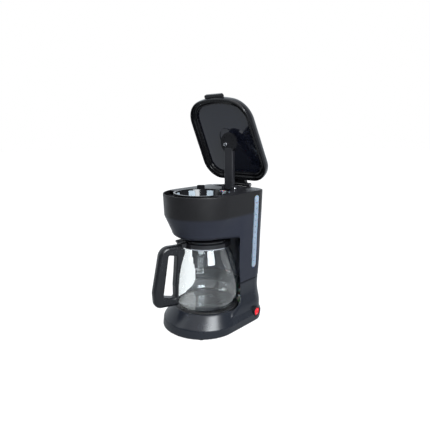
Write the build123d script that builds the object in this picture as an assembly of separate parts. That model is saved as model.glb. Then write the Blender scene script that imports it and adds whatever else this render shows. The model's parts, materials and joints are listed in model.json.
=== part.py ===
from build123d import *
from math import acos, atan2, cos, hypot, radians, sin, sqrt
import os

# A drip coffee maker. +Z is up, the front faces -Y and +X is the machine's right side.
# The origin is on the table, on the plane of symmetry, at the centre of the round front of the base.
# The pose is: lid open, brew basket seated, carafe on its plate.

# ---- driving dimensions, in millimetres ----
# Heights below are measured from a level LIFT above the table. The export at the end adds LIFT to them all.
LIFT = 4.5
RIM_Z = 300.0            # top edge of the housing
CREASE_Z = 252.0         # where the upright band of the head meets its cone
BAY_TOP_Z = 203.0        # ceiling over the carafe
SEAM_Z = 95.0            # joint between base and housing
DECK_Z = 43.0            # top of the base around the warming plate
FOOT_H = -1.5            # underside of the base
PAD_Z = -LIFT            # the table, on which its feet stand
WALL = 2.5               # casing walls
GAP = 0.4                # between neighbouring shells
BACK_Y = 136.0           # rear face at the rim
WING_Y = 40.0            # front edge of the column's side walls
CARAFE_Y = 13.0          # carafe axis, behind the origin
BAY_R = 80.0             # concave front of the column, around the carafe axis
RIM_HALF = 83.0          # half width at the rim
PLATE_R = 68.0           # warming plate
PLATE_Z = 43.6           # its top face
RECESS_Z = 39.5          # ledge that the plate stands on
LEDGE_Z = RECESS_Z - WALL
SEAM_Y = 72.0            # upright joint between front and rear housing
LID_HALF = 87.8          # half width of the lid behind its front corners
LID_REAR_HALF = 92.0     # and before its rear corners
LID_FRONT_R = 200.0
LID_CORNER_R = 54.0
LID_REAR_R = 44.0
LID_BACK_Y = 120.0
LID_LENGTH = 216.0       # hinge line to front edge
LID_HEIGHT = 18.7        # closed lid, lip to crown
LID_OPEN = 64.0          # degrees from closed to the open stop
LID_LIP_Z = 300.7        # closed lid's lip
HINGE = (0.0, 134.0, 305.0)
HINGE_PIN_R = 2.0
RING_Y = 17.0            # ring on the closed lid's liner, over the basket
ARM_PIVOT = (16.0, 76.0, 302.0)
ARM_LENGTH = 102.5
ARM_HALF = 5.0           # half its thickness
ARM_WIDE = 12.0          # half its width
HEAD_R = 22.0            # shower head on the arm
HEAD_FACE_Y = 71.0       # front face of the upright head
HEAD_T = 6.0
TANK_Y = 64.0            # flat front wall of the reservoir above the bay
TANK_FLOOR_Z = 100.0
WELL_R = 61.0            # brew well, inside, at its top
BASKET_R = 59.0          # filter basket, outside, at its top
FLANGE_Z = 290.0         # top of the brew well
DECK_HOLE_R = 63.0       # opening for the basket in the black deck over the reservoir
DECK_T = 2.4
TANK_TOP_Z = 296.0
GLASS_R = 74.0           # widest part of the carafe
GLASS_T = 2.0
GLASS_Z = PLATE_Z + 0.3  # underside of the carafe
COLLAR_Z = 180.0
COLLAR_TOP_Z = 193.0
COLLAR_R = 56.0
NECK_R = 51.0
NECK_TOP_Z = GLASS_Z + 145.1
HANDLE_TURN = 17.0       # degrees from straight ahead towards the left
HANDLE_HALF = 11.0       # half its width
GRIP_ELBOW = (-132, 90)  # where the grip stands furthest from the carafe axis
GRIP_ROUND = 8.0
OPENING_ROUND = 4.0
SWITCH = (88.6, 85.5, 20.7)
SWITCH_R = 10.5
CORD = (-34.0, 134.9, 20.0)  # where the mains lead enters
RUNNING = 0.05           # radial clearance of pins
WINDOW_Y = 92.0          # centre line of the water window
WINDOW_HALF = 6.5
WINDOW_Z = (123.0, 290.0)
SCREWS = ((-66.0, -30.0), (66.0, -30.0), (-62.0, 96.0), (62.0, 96.0))
FEET = ((-52.0, -58.0), (52.0, -58.0), (-66.0, 72.0), (66.0, 72.0))
HEATER_Z = 31.0
HEATER_TOP = PLATE_Z - 1.2
INLET_X = -16.0          # reservoir outlet and riser, side by side
RISER_X = 16.0
PIPE_Y = 112.0
LID_DISC_TOP = 199.6     # crown of the carafe's lid
CARAFE_HINGE = (-58.5, 194.0)

# the round-fronted plinth: (height, half width, front)
PLINTH = ((FOOT_H, 89.6, -89.6), (16.6, 92.0, -86.0), (38.0, 78.6, -66.2), (DECK_Z, 75.0, -61.7))
# the column: (height, half width)
COLUMN = ((SEAM_Z, 73.0), (138.0, 76.2), (188.0, 78.2), (BAY_TOP_Z, 78.8))
# the foot below it: (height, half width, rear corner radius, front face)
FOOT = ((11.0, 90.6, 50.0, -14.0), (35.0, 84.0, 45.0, 8.0), (49.0, 80.0, 42.0, 24.0), (60.0, 75.5, 39.0, 34.0),
        (74.0, 72.6, 37.0, 39.5), (SEAM_Z - GAP, 73.0, 36.0, WING_Y))
# the head's cone: radius of its round front at the crease, at the start of its rounded lower edge,
# and at the ceiling
CREASE_R = 81.2
TURN_Z = 217.0
TURN_R = 66.0
NOSE_R = 47.0


def column_outline(z, half, rear_r, front, inset=0.0, back=BACK_Y):
    """Flat-fronted section of the column with round rear corners."""
    h = half - inset
    r = max(rear_r - inset, 1.0)
    b = back - inset
    d = r * (1 - cos(radians(45)))
    f = front + inset
    edges = [
        Line((-h, f), (h, f)),
        Line((h, f), (h, b - r)),
        ThreePointArc((h, b - r), (h - d, b - d), (h - r, b)),
        Line((h - r, b), (r - h, b)),
        ThreePointArc((r - h, b), (d - h, b - d), (-h, b - r)),
        Line((-h, b - r), (-h, f)),
    ]
    return Pos(0, 0, z) * make_face(edges)


def nose_outline(z, nose_r, half, inset=0.0, rear_r=36.0, back=BACK_Y):
    """Section of the head: a round nose whose tangents run out to the column's side walls."""
    r = nose_r - inset
    h = half - inset
    reach = hypot(h, WING_Y + 5)
    turn = atan2(WING_Y + 5, h) - acos(min(r / reach, 0.9999))
    nx = r * cos(turn)
    ny = r * sin(turn)
    c = rear_r - inset
    b = back - inset
    d = c * (1 - cos(radians(45)))
    edges = [
        ThreePointArc((-nx, ny), (0, -r), (nx, ny)),
        Line((nx, ny), (h, WING_Y + 5)),
        Line((h, WING_Y + 5), (h, b - c)),
        ThreePointArc((h, b - c), (h - d, b - d), (h - c, b)),
        Line((h - c, b), (c - h, b)),
        ThreePointArc((c - h, b), (d - h, b - d), (-h, b - c)),
        Line((-h, b - c), (-h, WING_Y + 5)),
        Line((-h, WING_Y + 5), (-nx, ny)),
    ]
    return Pos(0, 0, z) * make_face(edges)


def round_front_outline(z, half, front, front_r, corner_r, rear_r, back, inset=0.0):
    """Section with a shallow front arc, large front corners, straight sides and round rear corners."""
    h = half - inset
    f = front + inset
    fr = front_r - inset
    cr = corner_r - inset
    rr = max(rear_r - inset, 1.0)
    b = back - inset
    cx = h - cr
    cy = f + fr - sqrt((fr - cr) ** 2 - cx ** 2)
    ux = cx / (fr - cr)
    uy = (cy - f - fr) / (fr - cr)
    tx = cx + cr * ux
    ty = cy + cr * uy
    mid = atan2(uy, ux) / 2
    mx = cx + cr * cos(mid)
    my = cy + cr * sin(mid)
    d = rr * (1 - cos(radians(45)))
    edges = [
        ThreePointArc((-tx, ty), (0, f), (tx, ty)),
        ThreePointArc((tx, ty), (mx, my), (h, cy)),
        Line((h, cy), (h, b - rr)),
        ThreePointArc((h, b - rr), (h - d, b - d), (h - rr, b)),
        Line((h - rr, b), (rr - h, b)),
        ThreePointArc((rr - h, b), (d - h, b - d), (-h, b - rr)),
        Line((-h, b - rr), (-h, cy)),
        ThreePointArc((-h, cy), (-mx, my), (-tx, ty)),
    ]
    return Pos(0, 0, z) * make_face(edges)


def cylinder(r, z0, z1, x=0.0, y=0.0):
    return Pos(x, y, (z0 + z1) / 2) * Cylinder(r, z1 - z0)


def block(x0, x1, y0, y1, z0, z1):
    return Pos((x0 + x1) / 2, (y0 + y1) / 2, (z0 + z1) / 2) * Box(x1 - x0, y1 - y0, z1 - z0)


def turned(points, x=0.0, y=0.0):
    """A solid of revolution about the upright axis through x, y, from a closed outline of (radius, z)."""
    face = Plane.XZ * make_face(Polyline(*points, close=True))
    return Pos(x, y, 0) * revolve(face, Axis.Z)


def tube_along(points, radius, outer, inner=None):
    """A round tube, or a rod when no inner radius is given, along straight runs joined by arcs."""
    path = FilletPolyline(*points, radius=radius)
    profile = Plane(origin=path @ 0, z_dir=path % 0) * Circle(outer)
    solid = sweep(profile, path=path)
    if inner is not None:
        bore = Plane(origin=path @ 0, z_dir=path % 0) * Circle(inner)
        solid = solid - sweep(bore, path=path)
    return solid


# ---- the base ----
def plinth(inset=0.0):
    """The base: a short upright skirt, then a broad band that slopes up to the ring of the warming plate."""
    sections = []
    for z, half, front in PLINTH:
        height = min(z, DECK_Z - inset)
        sections.append(round_front_outline(height, half, front, half + 9, half - 4, 50.0, 133.0, inset))
    return loft(sections, ruled=True)


def foot(inset=0.0):
    """The flared lower end of the column."""
    sections = []
    for z, half, rear_r, front in FOOT:
        sections.append(column_outline(z, half, rear_r, front, inset, back=134.0 + (z - 35.0) / 40.0))
    return loft(sections)


def base_shell():
    outer = plinth() + (foot() - cylinder(BAY_R, DECK_Z, SEAM_Z + 5, y=CARAFE_Y))
    inner = plinth(WALL) - cylinder(PLATE_R + 6, RECESS_Z - WALL, DECK_Z, y=CARAFE_Y)
    hollow = foot(WALL) - cylinder(BAY_R + WALL, DECK_Z - WALL, SEAM_Z + 5, y=CARAFE_Y)
    outer = outer - cylinder(PLATE_R + 3.4, RECESS_Z, DECK_Z + 5, y=CARAFE_Y)
    outer = outer - cylinder(PLATE_R - 6, 20, DECK_Z, y=CARAFE_Y)
    shell = outer - inner - hollow - block(-60, 60, 60, 128, 38, 48)
    switch_hole = Pos(*SWITCH) * Rot(0, 90, 0) * Cylinder(SWITCH_R + 0.2, 40)
    cord_hole = Pos(*CORD) * Rot(90, 0, 0) * Cylinder(5.0, 40)
    return shell - switch_hole - cord_hole


def bottom_cover():
    """Closes the base from below. Its centre pad stands on the table under the heater."""
    face = round_front_outline(FOOT_H, 86.6, -85.8, 95.6, 82.6, 47.0, 130.0)
    plate = extrude(face, 2.0)
    plate = plate + cylinder(14.0, PAD_Z, FOOT_H)
    for x, y in SCREWS:
        plate = plate - cylinder(2.0, PAD_Z, 10, x, y)
    return plate


def rubber_feet():
    pads = [cylinder(8.0, PAD_Z, FOOT_H, x, y) for x, y in FEET]
    return Compound(children=pads)


def bottom_screws():
    screws = []
    for x, y in SCREWS:
        head = cylinder(3.5, FOOT_H - 1.8, FOOT_H, x, y)
        screws.append(head + cylinder(1.8, FOOT_H, 14.0, x, y))
    return Compound(children=screws)


def warming_plate():
    """A coated steel disc with a turned-down edge."""
    outline = ((0, PLATE_Z - 1.2), (PLATE_R - 1.2, PLATE_Z - 1.2), (PLATE_R - 1.2, RECESS_Z),
               (PLATE_R, RECESS_Z), (PLATE_R, PLATE_Z - 1.0), (PLATE_R - 1.0, PLATE_Z), (0, PLATE_Z))
    return turned(outline, y=CARAFE_Y)


def plate_seal():
    """Silicone ring between the plate and the deck."""
    outline = ((PLATE_R + 0.2, RECESS_Z), (PLATE_R + 3.2, RECESS_Z), (PLATE_R + 3.2, DECK_Z - 0.2),
               (PLATE_R + 0.2, DECK_Z - 0.2))
    return turned(outline, y=CARAFE_Y)


def heating_element():
    """A horseshoe of cast aluminium that carries the water passage and the heating rod under the plate."""
    ring = turned(((34, HEATER_Z - 7), (50, HEATER_Z - 7), (50, HEATER_TOP), (34, HEATER_TOP)), y=CARAFE_Y)
    ring = ring - block(-22, 22, CARAFE_Y, 100, 0, 60)
    inlet = block(-38, -23, CARAFE_Y + 34, 76, HEATER_Z - 7, HEATER_Z + 5)
    outlet = block(23, 38, CARAFE_Y + 34, 76, HEATER_Z - 7, HEATER_Z + 5)
    body = ring + inlet + outlet
    for x in (-30.5, 30.5):
        body = body + Pos(x, 81, HEATER_Z - 1) * Rot(90, 0, 0) * Cylinder(4.0, 10)
        body = body - Pos(x, 74, HEATER_Z - 1) * Rot(90, 0, 0) * Cylinder(2.6, 26)
    return body


def element_clamp():
    """A sprung steel strap that holds the heater up against the plate."""
    strap = block(-64, 64, CARAFE_Y - 9, CARAFE_Y + 9, HEATER_Z - 9, HEATER_Z - 7)
    for side in (-1, 1):
        middle = (HEATER_Z - 9 + LEDGE_Z) / 2
        strap = strap + Pos(side * 63.5, CARAFE_Y, middle) * Box(2, 18, LEDGE_Z - HEATER_Z + 9)
    return strap - cylinder(3.0, 0, 60, y=CARAFE_Y)


def thermostat():
    body = cylinder(9.0, HEATER_TOP - 11, HEATER_TOP, 0, CARAFE_Y - 20)
    return body + block(-3, 3, CARAFE_Y - 24, CARAFE_Y - 16, HEATER_TOP - 17, HEATER_TOP - 11)


def thermal_fuse():
    return Pos(0, CARAFE_Y + 20, HEATER_TOP - 3) * Rot(0, 90, 0) * Cylinder(3.0, 34)


def heater_hose(low_x, high_x):
    """From a stub of the heater at low_x back and up to a pipe of the reservoir at high_x."""
    low_z = HEATER_Z - 1
    points = ((low_x, 79, low_z), (low_x, 104, low_z), (high_x, PIPE_Y, 50), (high_x, PIPE_Y, 84))
    return tube_along(points, 9, 6.0, 4.05)


def inlet_hose():
    """Carries cold water from the reservoir's outlet down to the heater."""
    return heater_hose(-30.5, INLET_X)


def riser_hose():
    """Carries hot water and steam from the heater up to the riser tube."""
    return heater_hose(30.5, RISER_X)


def hose_clamps():
    rings = []
    for x in (-1, 1):
        ring = Cylinder(7.2, 5) - Cylinder(6.05, 6)
        rings.append(Pos(x * 30.5, 82, HEATER_Z - 1) * Rot(90, 0, 0) * ring)
        rings.append(Pos(x * RISER_X, PIPE_Y, 80) * ring)
    return Compound(children=rings)


def check_valve():
    """A ball valve in the reservoir outlet that stops hot water from running back."""
    return turned(((1.5, 86), (3.9, 86), (3.9, 99.9), (1.5, 99.9)), INLET_X, PIPE_Y)


def switch_body():
    """The switch's own case behind the round rocker, with its blade terminals."""
    case = Pos(SWITCH[0] - 14, SWITCH[1], SWITCH[2]) * Rot(0, 90, 0) * Cylinder(SWITCH_R - 1.8, 16)
    for dy in (-4, 4):
        case = case + Pos(SWITCH[0] - 26, SWITCH[1] + dy, SWITCH[2]) * Box(8, 0.8, 5)
    return case


def switch_bezel():
    ring = Pos(0, 0, -2.5) * (Cylinder(SWITCH_R, 11) - Cylinder(SWITCH_R - 1.4, 13))
    ring = ring - Pos(0, 0, 0.5) * Rot(90, 0, 0) * Cylinder(0.8 + RUNNING, 19.8)
    return Pos(SWITCH[0] + 1.0, SWITCH[1], SWITCH[2]) * Rot(0, 90, 0) * ring


def switch_rocker():
    """A round rocker that tips about a level pin across the bezel."""
    disc = Cylinder(SWITCH_R - 1.9, 4.0) & (Pos(0, 0, -22.5) * Sphere(25))
    disc = disc + Rot(90, 0, 0) * Cylinder(0.8, 19.6)
    return Pos(SWITCH[0] + 1.5, SWITCH[1], SWITCH[2]) * Rot(0, 90, 0) * disc


def cord_gland():
    """A grommet in the rear wall where the mains lead enters."""
    ring = Cylinder(7.5, 2.0) + Pos(0, 0, -3.5) * Cylinder(4.8, 5)
    ring = ring - Cylinder(3.2, 30)
    return Pos(*CORD) * Rot(-90, 0, 0) * ring


# ---- the housing ----
def column(inset=0.0):
    sections = [column_outline(z, half, 36.0, WING_Y, inset) for z, half in COLUMN]
    return loft(sections)


def side_half(z):
    """Half width of the housing between the ceiling of the bay and the crease."""
    return 78.8 + (CREASE_R - 78.8) * (z - BAY_TOP_Z) / (CREASE_Z - BAY_TOP_Z)


def cone(inset=0.0):
    """The head's underside: a straight cone below the crease, turned under in an elliptical curve."""
    upper = nose_outline(CREASE_Z, CREASE_R, side_half(CREASE_Z), inset)
    straight = loft([nose_outline(TURN_Z, TURN_R, side_half(TURN_Z), inset), upper])
    sections = []
    for step in range(6):
        turn = radians(18.0 * step)
        z = BAY_TOP_Z + (TURN_Z - BAY_TOP_Z) * (1 - cos(turn))
        r = NOSE_R + (TURN_R - NOSE_R) * sin(turn)
        sections.append(nose_outline(z, r, side_half(z), inset))
    return straight + loft(sections, ruled=True)


def band(inset=0.0):
    lower = nose_outline(CREASE_Z, CREASE_R, CREASE_R, inset)
    upper = nose_outline(RIM_Z, RIM_HALF, RIM_HALF, inset)
    return loft([lower, upper])


def outer_housing(inset=0.0):
    low = column(inset) - cylinder(BAY_R + inset, 60, BAY_TOP_Z, y=CARAFE_Y)
    return low + cone(inset) + band(inset)


def rear_cut(clearance):
    """The space behind the upright seam, less the wall around the carafe."""
    behind = block(-100, 100, SEAM_Y + clearance, 200, 60, 340)
    return behind - cylinder(BAY_R + WALL + clearance, 0, BAY_TOP_Z + WALL, y=CARAFE_Y)


def housing_shell():
    """The whole skin, with a floor under the brew well and open at the top."""
    outer = outer_housing()
    low = column(WALL) - cylinder(BAY_R + WALL, 60, BAY_TOP_Z + WALL, y=CARAFE_Y)
    high = (cone(WALL) + band(WALL)) & block(-100, 100, -100, 200, BAY_TOP_Z + WALL, 400)
    throat = cone(WALL) - cylinder(BAY_R + WALL, 60, BAY_TOP_Z + WALL + 1, y=CARAFE_Y)
    throat = throat & block(-100, 100, WING_Y + WALL, 200, BAY_TOP_Z - 1, BAY_TOP_Z + 8)
    return outer - low - high - throat


def front_housing(shell):
    """The front of the head, the wall round the carafe and the front of the column."""
    part = shell - rear_cut(0)
    return part - cylinder(13.0, 190, 210, y=CARAFE_Y)


def rear_housing(shell):
    """The back and the side walls, with the slot for the water window."""
    part = shell & rear_cut(GAP)
    return part - window_space(0.15)


def window_space(clearance):
    low = WINDOW_Z[0] + WINDOW_HALF
    high = WINDOW_Z[1] - WINDOW_HALF
    r = WINDOW_HALF + clearance
    slot = block(60, 100, WINDOW_Y - r, WINDOW_Y + r, low, high)
    for z in (low, high):
        slot = slot + Pos(80, WINDOW_Y, z) * Rot(0, 90, 0) * Cylinder(r, 40)
    return slot


def water_window():
    """The translucent strip in the right side that shows the water level."""
    skin = (column(-0.5) + cone(-0.5) + band(-0.5)) - (column(WALL) + cone(WALL) + band(WALL))
    return skin & window_space(0)


def reservoir():
    """The milky inner tank: a deep lobe each side of the carafe bay and a wide open top."""
    outer = tank_solid(WALL + 0.8, 0)
    inner = tank_solid(WALL + 2.6, 1.8)
    tank = outer - inner
    tank = tank + cylinder(6.2, 86, TANK_FLOOR_Z, INLET_X, PIPE_Y)
    tank = tank + cylinder(3.9, 86, TANK_FLOOR_Z, RISER_X, PIPE_Y)
    tank = tank - cylinder(4.0, 80, TANK_FLOOR_Z + 10, INLET_X, PIPE_Y)
    return tank - cylinder(2.8, 80, TANK_FLOOR_Z + 10, RISER_X, PIPE_Y)


def tank_loft(sections, inset, wall):
    front = TANK_Y + wall - inset
    return loft([column_outline(z, half, 36.0, front, inset) for z, half in sections])


def tank_solid(inset, wall):
    """The reservoir's outer or inner form: its lobes round the bay, then its full width above the bay."""
    floor_z = TANK_FLOOR_Z + wall
    step_z = BAY_TOP_Z + 3.5 + wall
    low = tank_loft(((floor_z, 73.4), (138.0, 76.2), (188.0, 78.2), (step_z, 78.8)), inset, wall)
    low = low - cylinder(BAY_R + WALL + 1.2 + wall, 60, step_z, y=CARAFE_Y)
    top_z = TANK_TOP_Z + wall
    high = tank_loft(((step_z, 78.8), (234.0, 80.2), (CREASE_Z, 81.2), (top_z, 82.9)), inset, wall)
    return low + high


def riser_tube():
    """Rises through the reservoir and turns forward to the spray arm's pivot."""
    points = ((RISER_X, PIPE_Y, 102), (RISER_X, PIPE_Y, 292), (RISER_X, 86, 292))
    return tube_along(points, 5, 3.9, 2.8)


# ---- the brewing parts ----
def brew_well():
    """A cone that receives the filter basket, hung from a flange at the mouth of the housing."""
    cup = turned(((48, 206.0), (WELL_R + 2, FLANGE_Z - 2), (WELL_R + 2, FLANGE_Z), (WELL_R, FLANGE_Z),
                  (46, 208.0), (0, 208.0), (0, 206.0)))
    flange = extrude(nose_outline(FLANGE_Z - 2, RIM_HALF - 0.4, RIM_HALF - 0.4, WALL + 0.4), 2.0)
    flange = flange & block(-100, 100, -100, TANK_Y - 0.5, 280, 300)
    flange = flange - cylinder(WELL_R + 1, 280, 300)
    well = cup + flange
    return well - cylinder(13.0, 190, 212, y=CARAFE_Y)


def top_deck():
    """Black cover over the reservoir, round the basket, with a filling mouth and a slot for the spray arm."""
    x, y, _ = ARM_PIVOT
    low = RIM_Z - DECK_T
    deck = extrude(nose_outline(low, RIM_HALF - 0.1, RIM_HALF - 0.1, WALL + 0.4), DECK_T)
    deck = deck & block(-100, 100, -25, 200, low - 1, RIM_Z)
    deck = deck - cylinder(DECK_HOLE_R, low - 1, RIM_Z + 1)
    deck = deck - block(x - ARM_WIDE - 5.2, x + ARM_WIDE + 5.2, 50, y + 8.4, low - 1, RIM_Z + 1)
    deck = deck + block(-52, -12, 96, 124, 290, RIM_Z)
    return deck - block(-50, -14, 98, 122, 280, RIM_Z + 1)


def filter_basket():
    """A conical basket with a lip and a drip outlet below."""
    top = FLANGE_Z
    cup = turned(((0, 211.5), (43, 211.5), (BASKET_R, top), (WELL_R + 1.2, top), (WELL_R + 1.2, top + 2),
                  (BASKET_R + 0.4, top + 2), (BASKET_R + 1.2, top + 6), (BASKET_R - 1.2, top + 6),
                  (41.2, 213.5), (0, 213.5)))
    spout = cylinder(10.0, 203.5, 212, y=CARAFE_Y) - cylinder(8.0, 200, 211, y=CARAFE_Y)
    cup = cup + spout
    return cup - cylinder(5.0, 200, 230, y=CARAFE_Y)


def filter_wall(inner, outer):
    """A conical ring inside the basket's wall: outer and inner are set back from that wall."""
    low = 43.5
    high = 58.2
    return turned(((low - outer, 225), (high - outer, 298), (high - inner, 298), (low - inner, 225)))


def filter_windows():
    """The mesh windows of the reusable filter, as radial blocks."""
    cuts = None
    for turn in range(0, 360, 45):
        window = Rot(0, 0, turn + 22.5) * block(30, 70, -8, 8, 231, 296)
        cuts = window if cuts is None else cuts + window
    return cuts


def arm_notch():
    """Room in the filter's rim for the folded spray arm."""
    x = ARM_PIVOT[0]
    return block(x - ARM_WIDE - 1.5, x + ARM_WIDE + 1.5, 40, 70, 296, 302)


def filter_frame():
    """Frame of the reusable filter: a conical cage with a floor ring, backed by the basket's wall."""
    cage = filter_wall(2.0, 0.3) - filter_windows()
    floor_ring = turned(((30, 223.8), (42.6, 223.8), (42.6, 225.6), (30, 225.6)))
    return cage + floor_ring - arm_notch()


def filter_rim():
    """The filter's lip over the basket's edge, open at the back for the folded spray arm."""
    return turned(((56.2, 298.0), (60.5, 298.0), (60.5, 299.8), (56.2, 299.8))) - arm_notch()


def filter_tab():
    """Tab on the filter's lip for lifting it out."""
    tab = block(57, 60, -9, 9, 299.8, 308)
    return Rot(0, 0, 135) * fillet(tab.edges().filter_by(Axis.X).group_by(Axis.Z)[-1], 2.5)


def filter_mesh():
    """Pale woven mesh in the windows and the floor of the reusable filter."""
    side = (filter_wall(1.4, 0.8) & filter_windows()) - arm_notch()
    floor_mesh = cylinder(30.0, 224.4, 225.0)
    return Compound(children=[*side.solids(), floor_mesh])


def valve_seat():
    """Silicone washer under the basket's outlet."""
    return turned(((3.4, 210.0), (7.9, 210.0), (7.9, 211.0), (3.4, 211.0)), y=CARAFE_Y)


def drip_valve():
    """A plunger: its stem passes through the outlet and its foot is lifted by the docked carafe's lid."""
    stem = cylinder(2.6, 203.0, 220.0, y=CARAFE_Y)
    foot_disc = cylinder(6.5, 200.6, 203.0, y=CARAFE_Y)
    cap = cylinder(4.4, 220.0, 222.0, y=CARAFE_Y)
    return stem + foot_disc + cap


def valve_spring():
    """Coil between the cap of the plunger and the basket's floor."""
    path = Helix(pitch=1.5, height=4.5, radius=3.6)
    wire = sweep(Plane(origin=path @ 0, z_dir=path % 0) * Circle(0.35), path=path)
    return Pos(0, CARAFE_Y, 214.6) * wire


# ---- the lid ----
def lid_outline(z, inset):
    """The closed lid's plan: a shallow front arc, round corners, and sides that widen towards the hinge."""
    front = HINGE[1] - LID_LENGTH + inset
    back = LID_BACK_Y - inset
    front_r = LID_FRONT_R - inset
    corner_r = LID_CORNER_R - inset
    rear_r = LID_REAR_R - inset
    cx = LID_HALF - LID_CORNER_R
    cy = front + front_r - sqrt((front_r - corner_r) ** 2 - cx ** 2)
    rx = LID_REAR_HALF - LID_REAR_R
    ry = back - rear_r
    # where the front arc meets the corner, and the common tangent of the corner and the rear corner
    start = atan2(cy - front - front_r, cx)
    side = atan2(ry - cy, rx - cx) - acos((corner_r - rear_r) / hypot(rx - cx, ry - cy))
    tx = cx + corner_r * cos(start)
    ty = cy + corner_r * sin(start)
    half_way = (start + side) / 2
    up = (side + radians(90)) / 2
    a = (cx + corner_r * cos(half_way), cy + corner_r * sin(half_way))
    b = (cx + corner_r * cos(side), cy + corner_r * sin(side))
    c = (rx + rear_r * cos(side), ry + rear_r * sin(side))
    d = (rx + rear_r * cos(up), ry + rear_r * sin(up))
    edges = [
        ThreePointArc((-tx, ty), (0, front), (tx, ty)),
        ThreePointArc((tx, ty), a, b),
        Line(b, c),
        ThreePointArc(c, d, (rx, back)),
        Line((rx, back), (-rx, back)),
        ThreePointArc((-rx, back), (-d[0], d[1]), (-c[0], c[1])),
        Line((-c[0], c[1]), (-b[0], b[1])),
        ThreePointArc((-b[0], b[1]), (-a[0], a[1]), (-tx, ty)),
    ]
    return Pos(0, 0, z) * make_face(edges)


def opened(shape):
    """Swings a shape modelled on the closed lid to the open stop."""
    return shape.rotate(Axis(HINGE, (1, 0, 0)), -LID_OPEN)


def lid_cover():
    """The outer shell: a rounded rim wall, a crowned top, a front tab and a hinge barrel."""
    lip = LID_LIP_Z
    outer = loft([lid_outline(lip, 0.8), lid_outline(lip + 3, 0), lid_outline(lip + 10, 0.3),
                  lid_outline(lip + 15, 1.8), lid_outline(lip + LID_HEIGHT, 7.0)])
    inner = loft([lid_outline(lip - 1, 3.2), lid_outline(lip + 3, 2.6), lid_outline(lip + 10, 2.9),
                  lid_outline(lip + 13.5, 4.4), lid_outline(lip + LID_HEIGHT - 2.4, 9.0)])
    shell = outer - inner
    front = HINGE[1] - LID_LENGTH
    tab = block(-26, 26, front - 6.5, front + 1.5, lip + 6.5, lip + 11.5)
    tab = fillet(tab.edges().filter_by(Axis.Z).group_by(Axis.Y)[0], 4.5)
    shell = shell + (tab - inner)
    x, y, z = HINGE
    barrel = block(-20, 20, LID_BACK_Y - 2.0, y, lip + 1.5, lip + 9.5)
    barrel = barrel + Pos(x, y, z) * Rot(0, 90, 0) * Cylinder(4.4, 40)
    shell = shell + (barrel - inner)
    shell = shell - Pos(x, y, z) * Rot(0, 90, 0) * Cylinder(HINGE_PIN_R + RUNNING, 100)
    return opened(shell)


def lid_liner():
    """The glossy inner panel: a stepped rim, a flat floor and a round recess for the shower head."""
    lip = LID_LIP_Z
    plate = loft([lid_outline(lip + 11.2, 3.6), lid_outline(lip + 13.0, 4.6)])
    ridge = loft([lid_outline(lip + 7.5, 12.0), lid_outline(lip + 11.5, 12.0)])
    ridge = ridge - loft([lid_outline(lip + 7.0, 14.0), lid_outline(lip + 12.0, 14.0)])
    ring = turned(((22.0, lip + 9.9), (24.5, lip + 9.9), (24.5, lip + 11.6), (22.0, lip + 11.6)), y=RING_Y)
    return opened(plate + ridge + ring)


def lid_hinge_pin():
    return Pos(*HINGE) * Rot(0, 90, 0) * Cylinder(HINGE_PIN_R, 62)


def hinge_bracket():
    """Two knuckles behind the reservoir that carry the lid's pin."""
    bracket = None
    for x in (-26.0, 26.0):
        knuckle = Pos(x, HINGE[1], HINGE[2]) * Rot(0, 90, 0) * Cylinder(4.4, 10)
        knuckle = knuckle + block(x - 5, x + 5, 131.5, 136.0, RIM_Z, HINGE[2] - 2)
        bracket = knuckle if bracket is None else bracket + knuckle
    bracket = bracket + block(-31, 31, 133.5, 136.0, RIM_Z, RIM_Z + 0.4)
    return bracket - Pos(*HINGE) * Rot(0, 90, 0) * Cylinder(HINGE_PIN_R + RUNNING, 100)


# ---- the spray arm, upright behind the open lid ----
def pivot_block():
    """The fixed water joint: a fork under the deck that carries the hollow spray arm."""
    x, y, z = ARM_PIVOT
    inside = ARM_WIDE + 0.3
    fork = block(x - ARM_WIDE - 5, x + ARM_WIDE + 5, TANK_Y + 2.2, y + 20, 285, TANK_TOP_Z + 1.2)
    fork = fork - block(x - inside, x + inside, 0, y + 7, z - 6, z)
    for side in (-1, 1):
        lug = Pos(x + side * (inside + 2.3), y, 302) * Box(4.6, 16, 16)
        lug = fillet(lug.edges().filter_by(Axis.X).group_by(Axis.Z)[-1], 5.0)
        fork = fork + lug
    fork = fork - Pos(x, y, z) * Rot(0, 90, 0) * Cylinder(2.5 + RUNNING, 60)
    return fork - Pos(x, y + 16, 292) * Rot(90, 0, 0) * Cylinder(3.95, 12)


def spray_arm():
    x, y, z = ARM_PIVOT
    top = z + ARM_LENGTH - 12
    arm = block(x - ARM_WIDE, x + ARM_WIDE, y - ARM_HALF, y + ARM_HALF, z + 1, top)
    arm = fillet(arm.edges().filter_by(Axis.Z), 2.5)
    arm = arm + Pos(x, y, z) * Rot(0, 90, 0) * Cylinder(ARM_HALF, 2 * ARM_WIDE)
    arm = arm - block(x - 6, x + 6, y - 3, y + 3, z + 8, z + ARM_LENGTH)
    return arm - Pos(x, y, z) * Rot(0, 90, 0) * Cylinder(2.5 + RUNNING, 40)


def arm_pin():
    x, y, z = ARM_PIVOT
    return Pos(x, y, z) * Rot(0, 90, 0) * Cylinder(2.5, 33)


def spray_head():
    """The round shower head, with its outlet holes facing the basket when the lid is down."""
    x, _, z = ARM_PIVOT
    centre = z + ARM_LENGTH
    middle = HEAD_FACE_Y + HEAD_T / 2
    disc = Pos(x, middle, centre) * Rot(90, 0, 0) * Cylinder(HEAD_R, HEAD_T)
    disc = disc - block(x - ARM_WIDE - 0.1, x + ARM_WIDE + 0.1, 60, 90, z, centre - 11.9)
    for turn in range(-45, 225, 30):
        hx = x + 15 * cos(radians(turn))
        hz = centre + 15 * sin(radians(turn))
        disc = disc - Pos(hx, HEAD_FACE_Y, hz) * Rot(90, 0, 0) * Cylinder(1.2, 6)
    return disc - nozzle_at(3.8, 4.0)


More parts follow.
